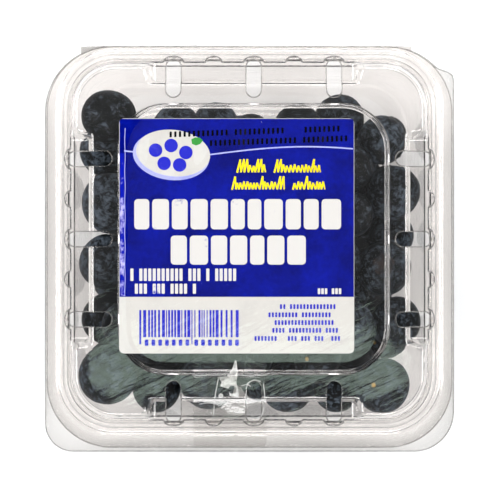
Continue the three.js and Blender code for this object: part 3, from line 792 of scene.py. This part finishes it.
def printed(name, outlines, lift, depth, material, cell=1.6, spot=label_spot):
    """Thin solids of the given outlines, in mm, laid on the label or another surface"""
    work = bmesh.new()
    for outline in outlines:
        top = work.faces.new([work.verts.new((u, v, 0)) for u, v in outline])
        bmesh.ops.triangulate(work, faces=[top])
    for _ in range(7):
        long_edges = [e for e in work.edges if e.calc_length() > cell * 1.5]
        if not long_edges:
            break
        bmesh.ops.subdivide_edges(work, edges=long_edges, cuts=1)
        bmesh.ops.triangulate(work, faces=work.faces[:])
    bmesh.ops.recalc_face_normals(work, faces=work.faces)
    under = bmesh.ops.extrude_face_region(work, geom=work.faces[:])
    lower = {v for v in under["geom"] if isinstance(v, bmesh.types.BMVert)}
    for vert in work.verts:
        x, y, z = spot(vert.co.x, vert.co.y)
        z += lift - (depth if vert in lower else 0)
        vert.co = (x * MM, (y + LID_MIDDLE_Y) * MM, z * MM)
    bmesh.ops.recalc_face_normals(work, faces=work.faces)
    mesh = bpy.data.meshes.new(name)
    work.to_mesh(mesh)
    work.free()
    made = in_scene(name, mesh, material)
    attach(made, "lid")
    return made


def paper_ink(name, colour, worn_colour, wear, rough):
    """Ink on coated paper: even and bright, with a faint mottle and gloss from the coating"""
    material, tree, place = new_material(name)
    mottle = node(tree, "TexNoise", {"Vector": place, "Scale": 900.0, "Detail": 5.0,
                  "Roughness": 0.7})
    streak = node(tree, "TexNoise", {"Vector": place, "Scale": 120.0, "Detail": 3.0})
    both = node(tree, "Math", {0: mottle, 1: 0.6, 2: streak}, operation="MULTIPLY_ADD")
    fade = node(tree, "MapRange", {"Value": both, "From Min": wear[0], "From Max": wear[1]})
    ink = node(tree, "Mix", {"Factor": fade, 6: linear(colour), 7: linear(worn_colour)},
               data_type="RGBA")
    fibre = node(tree, "Bump", {"Height": streak, "Strength": 0.25, "Distance": 0.0002})
    coat = node(tree, "BsdfPrincipled", {"Base Color": ink.outputs[2], "Roughness": rough,
                "IOR": 1.5, "Specular IOR Level": 0.05, "Normal": fibre})
    node(tree, "OutputMaterial", {"Surface": coat})
    return material


def box(left, top, right, bottom):
    return [(left, top), (right, top), (right, bottom), (left, bottom)]


def soft_box(left, top, right, bottom, corner, steps=3):
    outline = []
    middles = ((right - corner, bottom - corner), (left + corner, bottom - corner),
               (left + corner, top + corner), (right - corner, top + corner))
    for turn, (u, v) in enumerate(middles):
        for i in range(steps + 1):
            angle = (turn + i / steps) * math.pi / 2
            outline.append((u + corner * math.cos(angle), v + corner * math.sin(angle)))
    return outline


def oval(u, v, across, down, lean=0.0, steps=40):
    outline = []
    for i in range(steps):
        angle = 2 * math.pi * i / steps
        x, y = across * math.cos(angle), down * math.sin(angle)
        outline.append((u + x * math.cos(lean) - y * math.sin(lean),
                        v + x * math.sin(lean) + y * math.cos(lean)))
    return outline


def stroke(path, width):
    """A line of even width along a path"""
    left, right = [], []
    for i, (u, v) in enumerate(path):
        before, after = path[max(i - 1, 0)], path[min(i + 1, len(path) - 1)]
        du, dv = after[0] - before[0], after[1] - before[1]
        length = math.hypot(du, dv)
        nu, nv = -dv / length * width / 2, du / length * width / 2
        left.append((u + nu, v + nv))
        right.append((u - nu, v - nv))
    return left + right[::-1]


paper_white = paper_ink("Coated_paper_bare", "#CCCAC5", "#C4C2BE", (0.75, 1.05), 0.3)
ink_blue = paper_ink("Blue_ink_on_coated_paper", "#000668", "#021292", (0.6, 1.0), 0.3)
ink_white = paper_ink("White_ink_worn", "#D4D2CF", "#3846A8", (0.98, 1.08), 0.35)
ink_yellow = paper_ink("Yellow_ink", "#F2E01C", "#D8C21A", (0.8, 1.1), 0.3)
ink_pale = paper_ink("Pale_blue_ink", "#A9AEE8", "#8F96DC", (0.8, 1.1), 0.3)
ink_rubbed = paper_ink("Blue_ink_rubbed_pale", "#0A16A0", "#B9B4E6", (0.78, 0.92), 0.35)
ink_violet = paper_ink("Violet_blue_ink", "#2A2DB4", "#4A4CC4", (0.8, 1.05), 0.3)

sheet_edge = soft_box(0, 0, LABEL_SIZE, LABEL_SIZE, 1.3, 6)
label = printed("label_sheet", [sheet_edge], LABEL_THICK, LABEL_THICK, paper_white)
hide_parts("label")

INK = 0.03
blue_top = [(u, v) for u, v in sheet_edge if v < 30]
printed("label_blue_field", [[(0.12, 46.0), *[
    (min(max(u, 0.12), LABEL_SIZE - 0.12), max(v, 0.12))
    for u, v in sorted(blue_top, key=lambda p: math.atan2(p[1] - 46, p[0] - 30))
], (LABEL_SIZE - 0.12, 46.0)]], LABEL_THICK + INK, INK + 0.05, ink_blue)

over_blue = LABEL_THICK + 2 * INK
edge_line = stroke([(1.5 + 0.06 * math.sin(v * 0.8), v) for v in np.linspace(2.5, 45.8, 60)], 0.16)
wave_left = stroke([(u, 8.2 + 0.12 * u) for u in np.linspace(1.3, 4.9, 6)], 0.36)
wave_right = stroke([(u, 9.4 - 2.1 * math.sin((u - 23) / 38 * math.pi * 0.75))
                     for u in np.linspace(23, LABEL_SIZE - 0.3, 40)], 0.36)
badge_shade = oval(13.4, 9.6, 9.9, 6.3, 0.12)
printed("label_pale_print", [edge_line, wave_left, wave_right, badge_shade], over_blue,
        INK + 0.04, ink_pale)
edge_band = stroke([(0.8 + 0.12 * math.sin(v * 1.7), v) for v in np.linspace(9.0, 45.8, 60)], 1.0)
printed("label_rubbed_edge", [edge_band], over_blue, INK + 0.04, ink_rubbed)

badge = oval(13.9, 8.95, 9.6, 6.0, 0.12)
printed("label_badge", [badge], over_blue + INK, INK + 0.03, paper_white)
ink_leaf = paper_ink("Green_ink", "#3E8E41", "#2F7A36", (0.8, 1.1), 0.3)
leaf = [(18.6, 5.4), (19.6, 4.9), (20.8, 5.0), (21.6, 5.7), (20.9, 6.6), (19.8, 7.0), (18.8, 6.6)]
printed("label_badge_leaf", [leaf], over_blue + 2 * INK, INK + 0.02, ink_leaf, cell=0.8)
dots = [oval(u, v, 1.75, 1.75, steps=24) for u, v in
        ((9.4, 8.2), (13.4, 7.0), (17.2, 8.8), (11.6, 11.6), (15.6, 12.0))]
printed("label_badge_dots", dots, over_blue + 2 * INK, INK + 0.02, ink_violet, cell=0.8)

rng = random.Random(3)
big_blocks = []
for left, right, top, bottom, count in ((3.9, 57.2, 20.8, 28.6, 11), (13.3, 48.1, 30.2, 37.7, 7)):
    widths = [rng.uniform(0.8, 1.15) for _ in range(count)]
    scale = (right - left - 0.75 * (count - 1)) / sum(widths)
    u = left
    for width in widths:
        big_blocks.append(soft_box(u, top, u + width * scale, bottom, 0.9))
        u += width * scale + 0.75


def word_ticks(left, right, top, bottom, cell, gap, words):
    """A line of small upright blocks in groups, the size of small print"""
    made = []
    ends = sorted(rng.uniform(left, right) for _ in range(words - 1))
    u = left
    while u + cell <= right + 0.01:
        if not any(abs(u + cell / 2 - e) < cell * 0.55 for e in ends):
            made.append(soft_box(u, top, u + cell - gap, bottom, 0.12, 1))
        u += cell
    return made


small_white = word_ticks(2.9, 31.2, 38.7, 41.9, 1.15, 0.35, 6)
small_white += word_ticks(2.9, 20.3, 42.6, 45.2, 1.15, 0.35, 5)
small_white += word_ticks(51.2, 57.5, 43.8, 45.3, 0.9, 0.25, 2)
printed("label_white_rows", big_blocks + small_white, over_blue, INK + 0.03, ink_white)

script = []
for left, right, top, bottom in ((30.4, 38.6, 10.6, 14.0), (40.0, 52.5, 10.6, 14.0),
                                 (29.1, 43.2, 15.0, 18.4), (44.8, 53.8, 15.0, 18.4)):
    u, foot = left, bottom
    while u < right - 1.0:
        tall = (bottom - top) * rng.choice([0.5, 0.55, 0.6, 1.0])
        step = rng.uniform(0.75, 1.05)
        script.append(stroke([(u, foot), (u + 0.25 * tall, foot - tall)], 0.5))
        script.append(stroke([(u + 0.25 * tall, foot - tall), (u + step, bottom - 0.1)], 0.36))
        u, foot = u + step, bottom - 0.1
printed("label_yellow_strokes", script, over_blue, INK + 0.03, ink_yellow, cell=0.8)

# A packer's stamp across the top, in two leaning rows of small dark dashes
ink_black = paper_ink("Black_stamp_ink", "#05060C", "#0B1038", (0.9, 1.1), 0.4)
stamp = [[(a, b - 0.035 * (a - 36)) for a, b in tick]
         for left, right, top, words in ((13.0, 58.5, 2.6, 5), (21.0, 59.5, 5.2, 4))
         for tick in word_ticks(left, right, top, top + 1.5, 1.2, 0.62, words)]
printed("label_stamp_rows", stamp, over_blue + 2 * INK, INK + 0.05, ink_black, cell=3)

bars = []
u = 5.2
while u < 31.0:
    width = rng.choice([0.26, 0.26, 0.5, 0.78])
    guard = u < 5.9 or u > 30.4 or 17.9 < u < 18.8
    bars.append(box(u, 49.4, min(u + width, 31.5), 58.2 if guard else 56.4))
    u += width + rng.choice([0.28, 0.28, 0.5, 0.8])
bars += [soft_box(u, 57.0, u + 0.95, 58.6, 0.2, 1)
         for u in (*np.arange(6.6, 17.2, 1.75), *np.arange(19.4, 30.2, 1.75))]
printed("label_bars", bars, LABEL_THICK + INK, INK + 0.05, ink_violet, cell=3)
fine_print = []
for left, top, words in ((40.6, 47.9, 4), (38.5, 50.0, 5), (40.1, 52.0, 3), (39.5, 54.0, 3),
                         (34.9, 56.1, 6)):
    fine_print += word_ticks(left, 57.5, top, top + 1.25, 0.86, 0.34, words)
printed("label_fine_rows", fine_print, LABEL_THICK + INK, INK + 0.05, ink_violet, cell=3)

# The seal: a strip of clear polypropylene tape that holds the lid down at the front. It starts
# under the label's edge, is pressed down to the flange, and bridges the sunk ledge.
TAPE_HALF = 9.5
TAPE_X = -5.1
TAPE_THICK = 0.07
TAPE_LIFT = 0.12
TAPE_WAVE = 0.05

tape_path = [
    (29.8, PANEL_Z + 0.05), (33.45, PANEL_Z + 0.05), (34.6, LID_TOP_Z + TAPE_LIFT),
    (40.3, LID_TOP_Z + TAPE_LIFT), (43.4, 33.1), (46.3, LEDGE_Z + TAPE_LIFT),
    (47.45, LID_FLANGE_Z + 0.5), (48.3, LID_FLANGE_Z + 0.6), (48.9, LID_FLANGE_Z + 1.3 + TAPE_LIFT),
    (49.6, LID_FLANGE_Z + 1.3 + TAPE_LIFT), (50.4, LID_FLANGE_Z + TAPE_LIFT),
    (53.6, LID_FLANGE_Z + TAPE_LIFT),
]


def smooth_path(path, steps=5):
    made = [path[0]]
    for before, here, after in zip(path, path[1:], path[2:]):
        for i in range(steps + 1):
            t = i / steps
            a, b, c = (1 - t) ** 2, 2 * t * (1 - t), t * t
            made.append(tuple(a * (p * 0.35 + q * 0.65) + b * q + c * (r * 0.35 + q * 0.65)
                              for p, q, r in zip(before, here, after)))
    return [*made, path[-1]]


def film_strip(name, path, material):
    """A thin strip laid along a path down the front of the pack, a little wavy across"""
    points, faces = [], []
    columns = np.linspace(-TAPE_HALF, TAPE_HALF, 40)
    for x in columns:
        for line, thick in ((path, TAPE_THICK), (path[::-1], 0)):
            for y, z in line:
                ripple = TAPE_WAVE * (math.sin(x * 0.9 + y * 0.35) + math.sin(x * 0.4 - y * 0.8) + 1)
                points.append((TAPE_X + x + 0.02 * math.sin(y * 1.3), -y,
                               z + ripple * 0.5 + thick))
    loop = 2 * len(path)
    for j in range(len(columns) - 1):
        for i in range(loop):
            a, b = j * loop + i, j * loop + (i + 1) % loop
            faces.append((a, a + loop, b + loop, b))
    faces.append(tuple(range(loop)))
    faces.append(tuple(len(points) - loop + i for i in reversed(range(loop))))
    made = piece(name, points, faces, material)
    face_out(made)
    made.data.set_sharp_from_angle(angle=math.radians(60))
    return made


# Clear polypropylene tape: glossier and limper than the film, with a faint milky cast from its glue.
tape_film, tree, place = new_material("Polypropylene_tape_clear")
pull = node(tree, "TexNoise", {"Vector": place, "Scale": 180.0, "Detail": 3.0})
wrinkle = node(tree, "Bump", {"Height": pull, "Strength": 0.4, "Distance": 0.0005})
clear = node(tree, "BsdfPrincipled", {"Base Color": linear("#F4F3F2"), "Roughness": 0.06,
             "IOR": 1.49, "Transmission Weight": 1.0, "Normal": wrinkle})
node(tree, "OutputMaterial", {"Surface": lit_through(tree, clear, "#F2F1F0")})


def under_tape(x, reach):
    """The place just under the tape, x mm from the middle and so far out to the front"""
    path_out, path_z = zip(*tape_path)
    return x, -reach, float(np.interp(reach, path_out, path_z)) + 0.03


# Air caught under the tape: the glue has let go in a star-shaped patch, which scatters light like
# frosted glass.
# The thin lines of the same frosted white round the slot are partly air along creases and partly
# painted highlights of the creases' glints.
trapped_air, tree, place = new_material("Tape_glue_with_trapped_air")
bubbles = node(tree, "TexNoise", {"Vector": place, "Scale": 700.0, "Detail": 4.0})
loose = node(tree, "MapRange", {"Value": bubbles, "From Min": 0.35, "From Max": 0.6,
             "To Min": 0.35, "To Max": 0.95})
frosted = node(tree, "BsdfPrincipled", {"Base Color": linear("#D9DAD8"), "Roughness": 0.5,
               "IOR": 1.49})
wet = node(tree, "BsdfTransparent", {"Color": linear("#F6F6F6")})
air_mix = node(tree, "MixShader", {0: loose, 1: wet, 2: frosted})
node(tree, "OutputMaterial", {"Surface": air_mix})
star = [(-3.6, 30.6), (-4.6, 33.2), (-5.9, 35.1), (-8.0, 35.1), (-7.2, 36.6), (-7.6, 37.5),
        (-6.0, 38.0), *[(-4.4 - 1.05 * math.cos(a), 38.4 + 1.05 * math.sin(a))
                        for a in np.linspace(-0.3, -5.9, 16)],
        (-5.0, 39.9), (-2.9, 40.4), (-2.7, 39.2), (-3.4, 36.6), (-3.0, 34.0), (-3.3, 31.4)]
ring = [*oval(-7.4, 40.0, 0.62, 0.62, steps=20), (-6.78, 39.99),
        *reversed(oval(-7.4, 40.0, 0.42, 0.42, steps=20)), (-6.98, 39.98)]
# Painted highlights in part: thin frosted lines that stand in for the glints of the tape's creases
crease_air_and_glints = [stroke(path, 0.22) for path in (
    [(-0.9, 38.2), (-0.3, 36.6), (1.2, 35.8), (2.9, 36.3)],
    [(-0.8, 38.6), (-1.0, 40.5), (-0.6, 43.0)],
    [(3.6, 36.8), (3.9, 39.5), (3.7, 43.6), (3.1, 45.4)],
    [(-2.2, 37.4), (-0.6, 37.0), (0.4, 37.6)],
    [(0.2, 44.9), (1.4, 46.0), (2.8, 45.5)],
    [(-8.0, 35.4), (-8.9, 40.0), (-9.4, 45.8)],
)]
printed("tape_air", [star, ring, *crease_air_and_glints], 0.03, 0.03, trapped_air, cell=0.7, spot=under_tape)
tape = film_strip("seal_tape_film", smooth_path(tape_path), tape_film)
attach(tape, "lid")
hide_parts("seal_tape")

# The floor: a wide sheet of matt white board with a faint tooth.
white_board, tree, place = new_material("White_board_matt")
tooth = node(tree, "TexNoise", {"Vector": place, "Scale": 40.0, "Detail": 4.0})
shade = node(tree, "Mix", {"Factor": tooth, 6: linear("#F6F6F6"), 7: linear("#F9F9F9")},
             data_type="RGBA")
board = node(tree, "BsdfPrincipled", {"Base Color": shade.outputs[2], "Roughness": 0.8})
node(tree, "OutputMaterial", {"Surface": board})
floor_mesh = bpy.data.meshes.new("floor")
floor_mesh.from_pydata([(-2, -2, 0), (2, -2, 0), (2, 2, 0), (-2, 2, 0)], [], [(0, 1, 2, 3)])
floor = in_scene("floor", floor_mesh, white_board)

# Wide soft lamps on all four sides, a dim room, and overhead a faint greenish strip, brighter to
# its middle, whose mirror image lies on the front of the lid.
world = bpy.data.worlds.new("room")
scene.world = world
world.use_nodes = True
room = world.node_tree.nodes["Background"].inputs
room["Color"].default_value = linear("#E8ECF0")
room["Strength"].default_value = 0.2


def lamp(name, spot, aim, wide, deep, power, colour="#FFFFFF"):
    data = bpy.data.lights.new(name, "AREA")
    data.shape = "RECTANGLE"
    data.size, data.size_y = wide, deep
    data.energy = power
    data.color = linear(colour)[:3]
    made = in_scene(name, data)
    made.location = spot
    made.rotation_euler = (Vector(aim) - Vector(spot)).to_track_quat("-Z", "Y").to_euler()


lamp("left_lamp", (-0.62, 0.05, 0.5), (0, 0, 0.01), 0.5, 0.5, 4.9)
lamp("right_lamp", (0.62, 0.05, 0.5), (0, 0, 0.01), 0.5, 0.5, 4.2)
lamp("back_lamp", (0.0, 0.62, 0.5), (0, 0, 0.01), 0.6, 0.4, 3.4)
lamp("front_lamp", (0.0, -0.7, 0.55), (0, 0, 0.01), 0.5, 0.3, 3.3)
for i, share in enumerate((0.8, 1.0, 1.2)):
    lamp(f"green_strip_{i}", (0.0, -0.0485, 0.6), (0.0, -0.0485, 0), 0.108 * share, 0.021 * share,
         0.017 * share ** 2, "#C3DCCD")

# The camera looks straight down from 0.9 m above the lid, and takes in 130 mm at its height.
VIEW = 0.130
VIEW_Z = 0.029
EYE_ABOVE = 0.9
camera_data = bpy.data.cameras.new("camera")
camera_data.lens = camera_data.sensor_width * EYE_ABOVE / VIEW
camera = in_scene("camera", camera_data)
camera.location = (0.00013, -0.0003, VIEW_Z + EYE_ABOVE)
scene.camera = camera
scene.view_settings.view_transform = "Standard"
